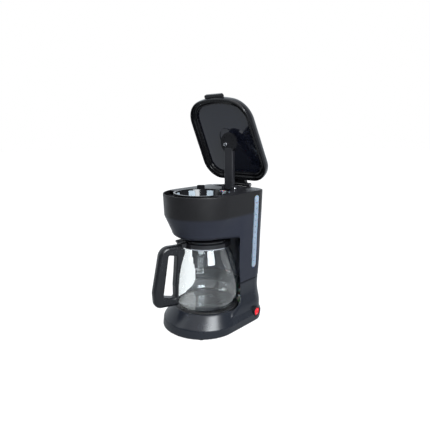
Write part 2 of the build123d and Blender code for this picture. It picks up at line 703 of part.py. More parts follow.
def nozzle_at(radius, length):
    """A level cylinder at the nozzle's place, half of it in front of the head's face."""
    x, _, z = ARM_PIVOT
    return Pos(x - 6, HEAD_FACE_Y, z + ARM_LENGTH - 4.5) * Rot(90, 0, 0) * Cylinder(radius, length)


def spray_nozzle():
    """Bright spout in the shower head."""
    tip = nozzle_at(3.8, 4.0) + Pos(0, -3.5, 0) * nozzle_at(3.2, 5.0)
    return tip - Pos(0, -3, 0) * nozzle_at(1.6, 8.0)


# ---- the carafe ----
GLASS_PROFILE = ((66.0, 4.0), (70.4, 11.0), (73.0, 21.0), (GLASS_R, 36.0), (73.2, 56.0), (70.0, 80.0),
                 (65.2, 101.0), (59.0, 118.0), (52.6, 132.0), (50.6, 138.0), (50.4, 145.0))


def carafe_glass():
    """Thin blown glass: a heavy rounded bottom, a wide belly and a straight neck."""
    low = GLASS_Z
    outside = [(r, low + h) for r, h in GLASS_PROFILE]
    inside = [(r - GLASS_T, z) for r, z in outside]
    floor = low + 3.0
    bottom = Line((0, low), (61, low))
    heel = ThreePointArc((61, low), (64.2, low + 1.2), outside[0])
    wall = Spline(*outside)
    rim = Line(outside[-1], inside[-1])
    wall_in = Spline(*reversed(inside))
    toe = Line(inside[0], (61, floor))
    floor_line = Line((61, floor), (0, floor))
    axis_line = Line((0, floor), (0, low))
    face = Plane.XZ * make_face([bottom, heel, wall, rim, wall_in, toe, floor_line, axis_line])
    return Pos(0, CARAFE_Y, 0) * revolve(face, Axis.Z)


def carafe_collar():
    """The black collar around the neck, with a lug for the handle."""
    ring = turned(((NECK_R, COLLAR_Z + 5), (NECK_R + 1.6, COLLAR_Z + 2), (COLLAR_R, COLLAR_Z + 2),
                   (COLLAR_R, COLLAR_TOP_Z - 2), (COLLAR_R - 2, COLLAR_TOP_Z), (48.5, COLLAR_TOP_Z),
                   (48.5, NECK_TOP_Z), (NECK_R, NECK_TOP_Z)))
    lug = block(-13, 13, -66, -50, COLLAR_Z + 3, COLLAR_TOP_Z - 0.5)
    lug = lug - cylinder(NECK_R + 1.6, 150, NECK_TOP_Z) - cylinder(48.5, 150, 200)
    return handle_frame(ring + lug - screw_hole())


def collar_band():
    """Bright steel band that clamps the collar to the neck."""
    outline = ((NECK_R + 1.5, COLLAR_Z), (COLLAR_R - 0.6, COLLAR_Z), (COLLAR_R - 0.6, COLLAR_Z + 1.9),
               (NECK_R + 1.5, COLLAR_Z + 1.9))
    return turned(outline, y=CARAFE_Y)


def handle_frame(shape):
    """Turns a handle piece modelled straight ahead to its real direction on the carafe."""
    return Pos(0, CARAFE_Y, 0) * Rot(0, 0, -HANDLE_TURN) * shape


def carafe_handle():
    """A closed loop: a thick outer grip and a thinner strap that follows the glass."""
    outer = make_face(Polyline((-66.2, 189), (-112, 189), GRIP_ELBOW, (-130, 55), (-75.6, 52),
                               (-75.4, 78), (-74.6, 100), (-71.6, 124), (-66.8, 146), (-61.0, 163),
                               (-58.0, 170), (-58.0, 179.5), (-66.2, 179.5), close=True))
    for corner, radius in ((GRIP_ELBOW, 34), ((-112, 189), 24), ((-130, 55), 16)):
        outer = fillet(outer.vertices().sort_by_distance(corner)[0], radius)
    slab = extrude(Plane.YZ * outer, HANDLE_HALF, both=True)
    rounded = []
    for edge in slab.edges():
        place = edge.center()
        if abs(place.X) > HANDLE_HALF - 0.1 and place.Y < -75.7 and edge.length > 3:
            rounded.append(edge)
    slab = fillet(rounded, GRIP_ROUND)
    opening = make_face(Polyline((-75.5, 166), (-95.0, 170), (-110, 78), (-81.2, 71), (-81.2, 100),
                                 (-78.4, 128), close=True))
    opening = fillet(opening.vertices(), 3.5)
    loop = slab - extrude(Plane.YZ * opening, HANDLE_HALF + 1, both=True)
    rounded = []
    for edge in loop.edges():
        place = edge.center()
        if abs(place.X) > HANDLE_HALF - 0.1 and -110.5 < place.Y < -75.0 and 70.5 < place.Z < 171:
            rounded.append(edge)
    loop = fillet(rounded, OPENING_ROUND)
    return handle_frame(loop - screw_hole())


def screw_hole():
    return Pos(0, -70, 186.0) * Rot(90, 0, 0) * Cylinder(1.65, 24)


def handle_screw():
    return handle_frame(Pos(0, -67, 186.0) * Rot(90, 0, 0) * Cylinder(1.65, 12))


def carafe_lid():
    """A shallow lid with a drip dish, a pouring rim and a thumb lever over the handle."""
    disc = turned(((0, 194.2), (8.0, 194.2), (10.0, 193.6), (52, 193.6), (52, 196.2), (50, 198.2),
                   (46, LID_DISC_TOP), (20, LID_DISC_TOP), (14, 196.4), (0, 196.4)))
    for turn in range(0, 360, 60):
        disc = disc - Rot(0, 0, turn) * (Pos(9, 0, 195) * Cylinder(1.5, 10))
    arm = block(-11, 11, -60, -48, 194.4, 198.0)
    lever = Pos(0, -64.5, 195.8) * Rot(3, 0, 0) * Box(20, 16, 3)
    lever = fillet(lever.edges().filter_by(Axis.Z, tolerance=20).group_by(Axis.Y)[0], 6.0)
    lever = lever + Pos(0, CARAFE_HINGE[0], CARAFE_HINGE[1] + 2.4) * Rot(0, 90, 0) * Cylinder(2.4, 16)
    return handle_frame(disc + arm + lever)


PARTS = {
    "base_shell": base_shell,
    "bottom_cover": bottom_cover,
    "rubber_feet": rubber_feet,
    "bottom_screws": bottom_screws,
    "warming_plate": warming_plate,
    "plate_seal": plate_seal,
    "heating_element": heating_element,
    "element_clamp": element_clamp,
    "thermostat": thermostat,
    "thermal_fuse": thermal_fuse,
    "inlet_hose": inlet_hose,
    "riser_hose": riser_hose,
    "hose_clamps": hose_clamps,
    "check_valve": check_valve,
    "switch_body": switch_body,
    "switch_bezel": switch_bezel,
    "switch_rocker": switch_rocker,
    "cord_gland": cord_gland,
    "water_window": water_window,
    "reservoir": reservoir,
    "riser_tube": riser_tube,
    "brew_well": brew_well,
    "top_deck": top_deck,
    "filter_basket": filter_basket,
    "filter_frame": filter_frame,
    "filter_rim": filter_rim,
    "filter_tab": filter_tab,
    "filter_mesh": filter_mesh,
    "valve_seat": valve_seat,
    "drip_valve": drip_valve,
    "valve_spring": valve_spring,
    "lid_cover": lid_cover,
    "lid_liner": lid_liner,
    "lid_hinge_pin": lid_hinge_pin,
    "hinge_bracket": hinge_bracket,
    "pivot_block": pivot_block,
    "spray_arm": spray_arm,
    "arm_pin": arm_pin,
    "spray_head": spray_head,
    "spray_nozzle": spray_nozzle,
    "carafe_glass": carafe_glass,
    "carafe_collar": carafe_collar,
    "collar_band": collar_band,
    "carafe_handle": carafe_handle,
    "handle_screw": handle_screw,
    "carafe_lid": carafe_lid,
}

os.makedirs("parts", exist_ok=True)
for name, make in PARTS.items():
    export_step(Pos(0, 0, LIFT) * make(), f"parts/{name}.step")
skin = housing_shell()
export_step(Pos(0, 0, LIFT) * front_housing(skin), "parts/front_housing.step")
export_step(Pos(0, 0, LIFT) * rear_housing(skin), "parts/rear_housing.step")
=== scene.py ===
import json
from math import acos, atan2, cos, hypot, pi, radians, sin, sqrt
import bmesh
import bpy
import numpy as np
from mathutils import Matrix, Vector


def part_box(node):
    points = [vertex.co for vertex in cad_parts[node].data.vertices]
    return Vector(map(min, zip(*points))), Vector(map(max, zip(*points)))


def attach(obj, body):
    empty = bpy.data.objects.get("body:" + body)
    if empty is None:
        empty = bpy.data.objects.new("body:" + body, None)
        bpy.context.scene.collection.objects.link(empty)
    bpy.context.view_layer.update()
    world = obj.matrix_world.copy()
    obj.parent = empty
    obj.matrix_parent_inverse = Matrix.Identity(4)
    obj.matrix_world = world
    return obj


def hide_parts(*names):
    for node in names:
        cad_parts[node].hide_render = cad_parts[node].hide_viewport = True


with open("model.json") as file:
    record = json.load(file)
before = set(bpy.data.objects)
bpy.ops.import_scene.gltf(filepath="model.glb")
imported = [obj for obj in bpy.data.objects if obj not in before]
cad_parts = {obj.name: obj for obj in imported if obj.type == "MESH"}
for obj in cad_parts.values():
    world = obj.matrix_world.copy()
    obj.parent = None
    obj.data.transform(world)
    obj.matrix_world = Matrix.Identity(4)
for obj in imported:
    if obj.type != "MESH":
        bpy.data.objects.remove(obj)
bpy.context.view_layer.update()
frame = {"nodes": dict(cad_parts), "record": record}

NODES = frame["nodes"]

# ---- camera: where it stands at rest, seen from the point that it looks at ----
AIM = Vector((0.0009, 0.0431, 0.2468))
AZIMUTH = radians(42.55)
ELEVATION = radians(11.46)
ROLL = radians(-0.34)
DISTANCE = 0.9355
LENS = 34.41
SENSOR_WIDTH = 36.0

# ---- studio, in metres ----
LAMPS_AIM = Vector((0, 0.03, 0.2))
BACK_WALL_WAY = (-sin(AZIMUTH), cos(AZIMUTH), 0)
FLOOR_HALF = 9

# ---- places on the machine, in metres, as part.py has them ----
HINGE = Vector((0.0, 0.134, 0.3095))
LID_OPEN = radians(64.0)
LID_LIP_Z = 0.3052
LID_HALF = 0.0878
LID_REAR_HALF = 0.0920
LID_FRONT_R = 0.200
LID_CORNER_R = 0.054
LID_REAR_R = 0.044
LID_BACK_Y = 0.120
LID_LENGTH = 0.216
CREASE_Z = 0.2565
ARM_PIVOT_YZ = (0.076, 0.3065)
FUNNEL_TOP = (-0.011, 0.008, 0.1975)
COVER_FRONT_Y = 0.0850


def make_camera():
    """The rest camera, placed from its angles and turned about the way it looks."""
    back = Vector((sin(AZIMUTH) * cos(ELEVATION), -cos(AZIMUTH) * cos(ELEVATION), sin(ELEVATION)))
    right = Vector((cos(AZIMUTH), sin(AZIMUTH), 0))
    up = back.cross(right)
    tilted_right = cos(ROLL) * right + sin(ROLL) * up
    tilted_up = cos(ROLL) * up - sin(ROLL) * right
    data = bpy.data.cameras.new("camera")
    data.lens = LENS
    data.sensor_width = SENSOR_WIDTH
    camera = bpy.data.objects.new("camera", data)
    bpy.context.scene.collection.objects.link(camera)
    axes = Matrix((tilted_right, tilted_up, back)).transposed().to_4x4()
    camera.matrix_world = Matrix.Translation(AIM + back * DISTANCE) @ axes
    bpy.context.scene.camera = camera


make_camera()


# ---- stage and light ----
def area_light(name, azimuth, elevation, distance, size, energy):
    """A bluish rectangular lamp that faces the machine."""
    az = radians(azimuth)
    el = radians(elevation)
    data = bpy.data.lights.new(name, "AREA")
    data.energy = energy
    data.color = (0.93, 0.97, 1.0)
    data.shape = "RECTANGLE"
    data.size = size[0]
    data.size_y = size[1]
    lamp = bpy.data.objects.new(name, data)
    bpy.context.scene.collection.objects.link(lamp)
    away = Vector((sin(az) * cos(el), -cos(az) * cos(el), sin(el)))
    lamp.location = LAMPS_AIM + away * distance
    lamp.rotation_euler = away.to_track_quat("Z", "Y").to_euler()


def seen_directly(tree):
    """1 where the camera looks at a surface, also through glass, and 0 in reflections and shadows."""
    path = tree.nodes.new("ShaderNodeLightPath")
    either = tree.nodes.new("ShaderNodeMath")
    either.operation = "MAXIMUM"
    tree.links.new(path.outputs["Is Camera Ray"], either.inputs[0])
    tree.links.new(path.outputs["Is Transmission Ray"], either.inputs[1])
    return either.outputs[0]


def behind(tree, coordinate, near, far, low, high):
    """Rises from low to high between two distances towards the studio's bright back wall.
    The wall stays where it is when another view moves the camera."""
    place = tree.nodes.new("ShaderNodeTexCoord").outputs[coordinate]
    along = tree.nodes.new("ShaderNodeVectorMath")
    along.operation = "DOT_PRODUCT"
    along.inputs[1].default_value = BACK_WALL_WAY
    tree.links.new(place, along.inputs[0])
    ramp = tree.nodes.new("ShaderNodeMapRange")
    ramp.interpolation_type = "SMOOTHSTEP"
    ramp.inputs["From Min"].default_value = near
    ramp.inputs["From Max"].default_value = far
    ramp.inputs["To Min"].default_value = low
    ramp.inputs["To Max"].default_value = high
    tree.links.new(along.outputs["Value"], ramp.inputs["Value"])
    return ramp.outputs["Result"]


def make_lights():
    """A wide soft sky, two soft boxes and a dim room with a bright back wall."""
    sun = bpy.data.lights.new("sky_panel", "SUN")
    sun.energy = 1.0
    sun.angle = radians(70)
    lamp = bpy.data.objects.new("sky_panel", sun)
    bpy.context.scene.collection.objects.link(lamp)
    lamp.rotation_euler = (radians(18), radians(14), 0)
    area_light("softbox_right", 66, 32, 1.25, (0.62, 0.80), 27.0)
    area_light("softbox_left", -35, 30, 1.5, (0.5, 0.9), 2.2)
    world = bpy.data.worlds.new("studio")
    world.use_nodes = True
    tree = world.node_tree
    tree.nodes.clear()
    direct = seen_directly(tree)
    seen = tree.nodes.new("ShaderNodeBackground")
    seen.inputs["Color"].default_value = (1.0, 1.0, 1.0, 1)
    lit = tree.nodes.new("ShaderNodeBackground")
    lit.inputs["Color"].default_value = (0.86, 0.93, 1.0, 1)
    tree.links.new(behind(tree, "Generated", -0.05, 0.45, 0.20, 0.95), lit.inputs["Strength"])
    mix = tree.nodes.new("ShaderNodeMixShader")
    out = tree.nodes.new("ShaderNodeOutputWorld")
    tree.links.new(direct, mix.inputs[0])
    tree.links.new(lit.outputs[0], mix.inputs[1])
    tree.links.new(seen.outputs[0], mix.inputs[2])
    tree.links.new(mix.outputs[0], out.inputs[0])
    bpy.context.scene.world = world
    bpy.context.scene.view_settings.view_transform = "Standard"


# ---- materials ----
class Shader:
    """A Principled material whose parts are wired one call at a time."""

    def __init__(self, name, colour, roughness, specular=0.5):
        self.material = bpy.data.materials.new(name)
        self.material.use_nodes = True
        self.tree = self.material.node_tree
        self.shader = self.tree.nodes["Principled BSDF"]
        self.shader.inputs["Base Color"].default_value = (*colour, 1)
        self.shader.inputs["Roughness"].default_value = roughness
        self.shader.inputs["Specular IOR Level"].default_value = specular
        self.place = self.tree.nodes.new("ShaderNodeTexCoord").outputs["Object"]

    def set(self, **values):
        for key, value in values.items():
            self.shader.inputs[key.replace("_", " ")].default_value = value
        return self

    def noise(self, scale, detail=2.0, stretch=None):
        node = self.tree.nodes.new("ShaderNodeTexNoise")
        node.inputs["Scale"].default_value = scale
        node.inputs["Detail"].default_value = detail
        place = self.place
        if stretch is not None:
            mapping = self.tree.nodes.new("ShaderNodeMapping")
            mapping.inputs["Scale"].default_value = stretch
            self.tree.links.new(place, mapping.inputs["Vector"])
            place = mapping.outputs["Vector"]
        self.tree.links.new(place, node.inputs["Vector"])
        return node.outputs["Fac"]

    def ranged(self, value, low, high, to_low, to_high, smooth=False):
        node = self.tree.nodes.new("ShaderNodeMapRange")
        if smooth:
            node.interpolation_type = "SMOOTHSTEP"
        node.inputs["From Min"].default_value = low
        node.inputs["From Max"].default_value = high
        node.inputs["To Min"].default_value = to_low
        node.inputs["To Max"].default_value = to_high
        self.tree.links.new(value, node.inputs["Value"])
        return node.outputs["Result"]

    def blend(self, factor, colour_a, colour_b):
        node = self.tree.nodes.new("ShaderNodeMix")
        node.data_type = "RGBA"
        self.tree.links.new(factor, node.inputs[0])
        for index, colour in ((6, colour_a), (7, colour_b)):
            if isinstance(colour, tuple):
                node.inputs[index].default_value = (*colour, 1)
            else:
                self.tree.links.new(colour, node.inputs[index])
        return node.outputs[2]

    def height(self):
        split = self.tree.nodes.new("ShaderNodeSeparateXYZ")
        self.tree.links.new(self.place, split.inputs[0])
        return split.outputs["Z"]

    def colour_from(self, socket):
        self.tree.links.new(socket, self.shader.inputs["Base Color"])
        return self

    def roughness_from(self, socket):
        self.tree.links.new(socket, self.shader.inputs["Roughness"])
        return self

    def bump_from(self, socket, strength, distance):
        node = self.tree.nodes.new("ShaderNodeBump")
        node.inputs["Strength"].default_value = strength
        node.inputs["Distance"].default_value = distance
        self.tree.links.new(socket, node.inputs["Height"])
        self.tree.links.new(node.outputs["Normal"], self.shader.inputs["Normal"])
        return self


def moulded(name, colour, roughness, specular=0.5, spread=0.06, grain=1500.0, bump=0.15, tint=1.35):
    """Moulded plastic: fine spark-eroded grain, slow changes of sheen and a little change of colour."""
    paint = Shader(name, colour, roughness, specular)
    slow = paint.noise(22.0, 3.0)
    fine = paint.noise(grain, 2.0)
    lighter = tuple(min(1.0, c * tint) for c in colour)
    paint.colour_from(paint.blend(slow, colour, lighter))
    paint.roughness_from(paint.ranged(slow, 0.3, 0.7, roughness - spread, roughness + spread))
    paint.bump_from(fine, bump, 0.00006)
    return paint.material


def housing_plastic():
    """The casing: warm black on the band of the head, blue-black below its crease."""
    paint = Shader("housing_black", (0.01, 0.01, 0.013), 0.42, 0.30)
    slow = paint.noise(18.0, 3.0)
    above = paint.ranged(paint.height(), CREASE_Z - 0.005, CREASE_Z + 0.003, 0.0, 1.0, smooth=True)
    low = paint.blend(slow, (0.0105, 0.0120, 0.0200), (0.0145, 0.0165, 0.0265))
    high = paint.blend(slow, (0.0040, 0.0038, 0.0042), (0.0075, 0.0070, 0.0078))
    paint.colour_from(paint.blend(above, low, high))
    paint.roughness_from(paint.ranged(slow, 0.3, 0.7, 0.38, 0.48))
    paint.bump_from(paint.noise(1700.0, 2.0), 0.2, 0.00006)
    return paint.material


def metal(name, colour, roughness, stretch, scale=260.0):
    """Steel or alloy with fine marks drawn along one direction."""
    paint = Shader(name, colour, roughness).set(Metallic=1.0)
    marks = paint.noise(scale, 4.0, stretch)
    darker = tuple(c * 0.72 for c in colour)
    paint.colour_from(paint.blend(marks, darker, colour))
    paint.roughness_from(paint.ranged(marks, 0.3, 0.7, max(roughness - 0.06, 0.03), roughness + 0.1))
    paint.bump_from(marks, 0.12, 0.00005)
    return paint.material


def clear_glass():
    """Thin clear glass that lets light through to what stands behind it."""
    paint = Shader("clear_glass", (0.96, 0.985, 0.99), 0.0)
    paint.set(Transmission_Weight=1.0, IOR=1.47)
    paint.bump_from(paint.noise(28.0, 1.0), 0.05, 0.0004)
    tree = paint.tree
    out = tree.nodes["Material Output"]
    path = tree.nodes.new("ShaderNodeLightPath")
    open_way = tree.nodes.new("ShaderNodeBsdfTransparent")
    open_way.inputs["Color"].default_value = (0.93, 0.95, 0.95, 1)
    mix = tree.nodes.new("ShaderNodeMixShader")
    tree.links.new(path.outputs["Is Shadow Ray"], mix.inputs[0])
    tree.links.new(paint.shader.outputs[0], mix.inputs[1])
    tree.links.new(open_way.outputs[0], mix.inputs[2])
    tree.links.new(mix.outputs[0], out.inputs["Surface"])
    return paint.material


def translucent(name, colour, roughness, share):
    """Milky plastic that light soaks into."""
    paint = Shader(name, colour, roughness).set(Subsurface_Weight=share, Subsurface_Scale=0.004)
    cloud = paint.noise(60.0, 3.0)
    darker = tuple(c * 0.86 for c in colour)
    paint.colour_from(paint.blend(cloud, darker, colour))
    paint.roughness_from(paint.ranged(cloud, 0.3, 0.7, roughness - 0.05, roughness + 0.08))
    paint.bump_from(paint.noise(900.0), 0.1, 0.00005)
    return paint.material


def floor_material():
    """White paper to the camera. What the machine mirrors of it is dimmer, as in a large dark room."""
    paint = Shader("floor_paint", (0.5, 0.5, 0.5), 0.7, 0.1)
    tree = paint.tree
    dim = paint.blend(paint.noise(3.0), (0.36, 0.37, 0.385), (0.38, 0.39, 0.405))
    paint.colour_from(paint.blend(behind(tree, "Object", 0.15, 0.6, 0.0, 1.0), dim, (0.95, 0.96, 0.98)))
    white = tree.nodes.new("ShaderNodeEmission")
    white.inputs["Strength"].default_value = 0.93
    shade = tree.nodes.new("ShaderNodeBsdfDiffuse")
    shade.inputs["Color"].default_value = (0.22, 0.22, 0.22, 1)
    both = tree.nodes.new("ShaderNodeAddShader")
    tree.links.new(white.outputs[0], both.inputs[0])
    tree.links.new(shade.outputs[0], both.inputs[1])
    mix = tree.nodes.new("ShaderNodeMixShader")
    tree.links.new(seen_directly(tree), mix.inputs[0])
    tree.links.new(paint.shader.outputs[0], mix.inputs[1])
    tree.links.new(both.outputs[0], mix.inputs[2])
    tree.links.new(mix.outputs[0], tree.nodes["Material Output"].inputs["Surface"])
    return paint.material


def woven(name, colour, dark, scale):
    """A fine crossed weave."""
    paint = Shader(name, colour, 0.6)
    waves = []
    for direction in ("DIAGONAL", "Z"):
        wave = paint.tree.nodes.new("ShaderNodeTexWave")
        wave.bands_direction = direction
        wave.inputs["Scale"].default_value = scale
        paint.tree.links.new(paint.place, wave.inputs["Vector"])
        waves.append(wave.outputs["Fac"])
    both = paint.tree.nodes.new("ShaderNodeMath")
    both.operation = "MAXIMUM"
    paint.tree.links.new(waves[0], both.inputs[0])
    paint.tree.links.new(waves[1], both.inputs[1])
    paint.colour_from(paint.blend(both.outputs[0], dark, colour))
    paint.bump_from(both.outputs[0], 0.4, 0.0002)
    return paint.material


MATERIALS = {
    "housing_black": housing_plastic(),
    "black_satin": moulded("black_satin", (0.0085, 0.0085, 0.0105), 0.36, 0.42),
    "base_black": moulded("base_black", (0.0075, 0.0090, 0.0130), 0.26, 0.45, spread=0.02),
    "black_matt": moulded("black_matt", (0.012, 0.012, 0.013), 0.6, 0.3),
    "black_gloss": moulded("black_gloss", (0.0045, 0.0045, 0.0055), 0.13, 0.5, spread=0.04, bump=0.04),
    "liner_gloss": moulded("liner_gloss", (0.0055, 0.0065, 0.0115), 0.07, 0.85, spread=0.02, bump=0.02),
    "rim_gloss": moulded("rim_gloss", (0.003, 0.003, 0.0038), 0.16, 0.28, spread=0.03, bump=0.03),
    "handle_black": moulded("handle_black", (0.0060, 0.0065, 0.0080), 0.27, 0.36, spread=0.05, grain=1100.0),
    "foot_rubber": moulded("foot_rubber", (0.02, 0.02, 0.02), 0.8, 0.25),
    "dark_silicone": moulded("dark_silicone", (0.014, 0.014, 0.015), 0.5, 0.4),
    "clear_silicone": translucent("clear_silicone", (0.75, 0.74, 0.7), 0.4, 0.4),
    "screw_steel": metal("screw_steel", (0.62, 0.62, 0.64), 0.25, (1, 1, 8)),
    "plain_steel": metal("plain_steel", (0.62, 0.62, 0.63), 0.35, (1, 6, 1)),
    "bright_steel": metal("bright_steel", (0.86, 0.87, 0.9), 0.12, (1, 1, 14)),
    "coated_steel": moulded("coated_steel", (0.006, 0.006, 0.007), 0.3, 0.5, spread=0.08, grain=700.0, bump=0.3),
    "cast_alloy": metal("cast_alloy", (0.6, 0.6, 0.61), 0.5, (1, 1, 1), 600.0),
    "fuse_sleeve": woven("fuse_sleeve", (0.8, 0.78, 0.7), (0.5, 0.47, 0.4), 300.0),
    "natural_plastic": translucent("natural_plastic", (0.82, 0.81, 0.76), 0.4, 0.3),
    "milky_plastic": translucent("milky_plastic", (0.72, 0.78, 0.84), 0.35, 0.4),
    "pale_mesh": woven("pale_mesh", (0.36, 0.42, 0.47), (0.15, 0.18, 0.20), 420.0),
    "window_blue": translucent("window_blue", (0.25, 0.31, 0.39), 0.22, 0.3),
    "red_rocker": moulded("red_rocker", (0.74, 0.012, 0.022), 0.22, 0.5, spread=0.04, bump=0.05, tint=1.1),
    "clear_glass": clear_glass(),
    "mark_white": moulded("mark_white", (0.85, 0.85, 0.83), 0.5),
    "mark_dark": moulded("mark_dark", (0.06, 0.08, 0.1), 0.5),
}
SLOT_OF = {row["node"]: row["material_slot"] for row in frame["record"]["subparts"]}
FINER = {"base_shell": "base_black"}


def paint_nodes():
    """Gives every CAD node the material of its record slot."""
    for name, node in NODES.items():
        chosen = MATERIALS[FINER.get(name, SLOT_OF[name])]
        for index in range(len(node.material_slots)):
            node.material_slots[index].material = chosen


# ---- mesh tools ----
def piece(name, points, faces, material, body, smooth=True):
    """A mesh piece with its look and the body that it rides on."""
    mesh = bpy.data.meshes.new(name)
    mesh.from_pydata([tuple(p) for p in points], [], faces)
    mesh.validate()
    mesh.materials.append(MATERIALS[material])
    made = bpy.data.objects.new(name, mesh)
    bpy.context.scene.collection.objects.link(made)
    if smooth:
        mesh.shade_smooth()
    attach(made, body)
    return made


def ring_of_profiles(rows):
    """Faces that join closed rows of points, each row to the next and the last to the first."""
    count = len(rows)
    width = len(rows[0])
    faces = []
    for i in range(count):
        j = (i + 1) % count
        for k in range(width):
            m = (k + 1) % width
            faces.append((i * width + k, j * width + k, j * width + m, i * width + m))
    return [p for row in rows for p in row], faces


def turned(profile, centre, segments):
    """A closed outline of (radius, height), all off the axis, turned about an upright axis."""
    rows = []
    for i in range(segments):
        a = 2 * pi * i / segments
        rows.append([(centre[0] + r * cos(a), centre[1] + r * sin(a), centre[2] + h) for r, h in profile])
    return ring_of_profiles(rows)


def dome(name, place, direction, radius, height, material, body, slot):
    """A closed button: a flat back and a rounded face."""
    rings = 7
    segments = 28
    axis = Vector(direction).normalized()
    side = axis.orthogonal().normalized()
    other = axis.cross(side)
    points = []
    faces = []
    for i in range(rings):
        t = i / (rings - 1) * radians(84)
        r = radius * cos(t)
        h = height * sin(t)
        for k in range(segments):
            a = 2 * pi * k / segments
            points.append(Vector(place) + axis * h + side * (r * cos(a)) + other * (r * sin(a)))
    for i in range(rings - 1):
        for k in range(segments):
            m = (k + 1) % segments
            faces.append((i * segments + k, i * segments + m, (i + 1) * segments + m, (i + 1) * segments + k))
    faces.append(tuple(range(segments - 1, -1, -1)))
    last = (rings - 1) * segments
    faces.append(tuple(range(last, last + segments)))
    return piece(name, points, faces, material, body)


def softened(name, nodes, voxel, zones, passes, material):
    """One finely remeshed skin for one or more of the machine's casings, with fillets inside the zones.
    A zone is (start, end, radius): a capsule, which also stands for its mirror image."""
    joined = bmesh.new()
    for node in nodes:
        joined.from_mesh(NODES[node].data)
    source = bpy.data.meshes.new(name + "_source")
    joined.to_mesh(source)
    joined.free()
    copy = bpy.data.objects.new(name + "_work", source)
    bpy.context.scene.collection.objects.link(copy)
    remesh = copy.modifiers.new("remesh", "REMESH")
    remesh.mode = "VOXEL"
    remesh.voxel_size = voxel
    graph = bpy.context.evaluated_depsgraph_get()
    mesh = bpy.data.meshes.new_from_object(copy.evaluated_get(graph))
    bpy.data.objects.remove(copy)
    count = len(mesh.vertices)
    place = np.empty(count * 3)
    mesh.vertices.foreach_get("co", place)
    place = place.reshape(-1, 3)
    folded = place.copy()
    folded[:, 0] = np.abs(folded[:, 0])
    weight = np.zeros(count)
    for start, end, radius in zones:
        a = np.array(start)
        along = np.array(end) - a
        share = np.clip((folded - a) @ along / max(along @ along, 1e-12), 0, 1)
        gap = np.linalg.norm(folded - a - share[:, None] * along, axis=1)
        near = np.clip(1.3 - 1.3 * gap / radius, 0, 1)
        weight = np.maximum(weight, near * near * (3 - 2 * near))
    pairs = np.empty(len(mesh.edges) * 2, dtype=np.int64)
    mesh.edges.foreach_get("vertices", pairs)
    pairs = pairs.reshape(-1, 2)
    everywhere = np.full(count, 0.6)
    first_passes = 3
    for step in range(first_passes + passes):
        pull = everywhere if step < first_passes else weight * 0.8
        busy = pairs if step < first_passes else pairs[(weight[pairs[:, 0]] > 0) | (weight[pairs[:, 1]] > 0)]
        both = np.concatenate([busy, busy[:, ::-1]])
        degree = np.maximum(np.bincount(both[:, 0], minlength=count), 1)
        for axis in range(3):
            total = np.bincount(both[:, 0], weights=place[both[:, 1], axis], minlength=count)
            mean = np.where(degree > 1, total / degree, place[:, axis])
            place[:, axis] += pull * (mean - place[:, axis]) * (degree > 1)
    mesh.vertices.foreach_set("co", place.reshape(-1))
    mesh.materials.clear()
    mesh.materials.append(MATERIALS[material])
    mesh.shade_smooth()
    mesh.update()
    mesh.name = name
    made = bpy.data.objects.new(name, mesh)
    bpy.context.scene.collection.objects.link(made)
    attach(made, "machine")
    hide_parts(*nodes)


# ---- the lid's inner frame ----
def lid_outline(inset):
    """Plan outline of the closed lid: a front arc, front corners, widening sides and rear corners."""
    count = 40
    front = HINGE.y - LID_LENGTH + inset
    back = LID_BACK_Y - inset
    front_r = LID_FRONT_R - inset
    corner_r = LID_CORNER_R - inset
    rear_r = LID_REAR_R - inset
    cx = LID_HALF - LID_CORNER_R
    cy = front + front_r - sqrt((front_r - corner_r) ** 2 - cx ** 2)
    rx = LID_REAR_HALF - LID_REAR_R
    ry = back - rear_r
    start = atan2(cy - front - front_r, cx)
    side = atan2(ry - cy, rx - cx) - acos((corner_r - rear_r) / hypot(rx - cx, ry - cy))
    half = []
    for i in range(count):
        a = -pi / 2 + (start + pi / 2) * i / count
        half.append((front_r * cos(a), front + front_r + front_r * sin(a)))
    for i in range(count):
        a = start + (side - start) * i / count
        half.append((cx + corner_r * cos(a), cy + corner_r * sin(a)))
    first = (cx + corner_r * cos(side), cy + corner_r * sin(side))
    last = (rx + rear_r * cos(side), ry + rear_r * sin(side))
    for i in range(count):
        share = i / count
        half.append((first[0] + (last[0] - first[0]) * share, first[1] + (last[1] - first[1]) * share))
    for i in range(count):
        a = side + (pi / 2 - side) * i / count
        half.append((rx + rear_r * cos(a), ry + rear_r * sin(a)))
    for i in range(count):
        half.append((rx - rx * i / count, back))
    mirrored = [(-x, y) for x, y in half[1:]]
    return half + [(0, back)] + mirrored[::-1]


def opened(point):
    """Swings a point of the closed lid to the open pose."""
    dy = point[1] - HINGE.y
    dz = point[2] - HINGE.z
    c = cos(LID_OPEN)
    s = sin(LID_OPEN)
    return (point[0], HINGE.y + dy * c + dz * s, HINGE.z - dy * s + dz * c)


def lid_frame():
    """Stepped border round the liner: two rounded ridges with a shelf between them."""
    profile = ((0.0030, 0.0113), (0.0030, 0.0062), (0.0036, 0.0052), (0.0046, 0.0048), (0.0056, 0.0052),
               (0.0063, 0.0064), (0.0070, 0.0078), (0.0090, 0.0084), (0.0112, 0.0080), (0.0120, 0.0070),
               (0.0128, 0.0062), (0.0138, 0.0059), (0.0148, 0.0064), (0.0155, 0.0078), (0.0160, 0.0096),
               (0.0164, 0.0113))
    columns = []
    for inset, height in profile:
        columns.append([opened((x, y, LID_LIP_Z + height)) for x, y in lid_outline(inset)])
    rows = [[column[i] for column in columns] for i in range(len(columns[0]))]
    points, faces = ring_of_profiles(rows)
    piece("lid_inner_frame", points, faces, "rim_gloss", "lid")


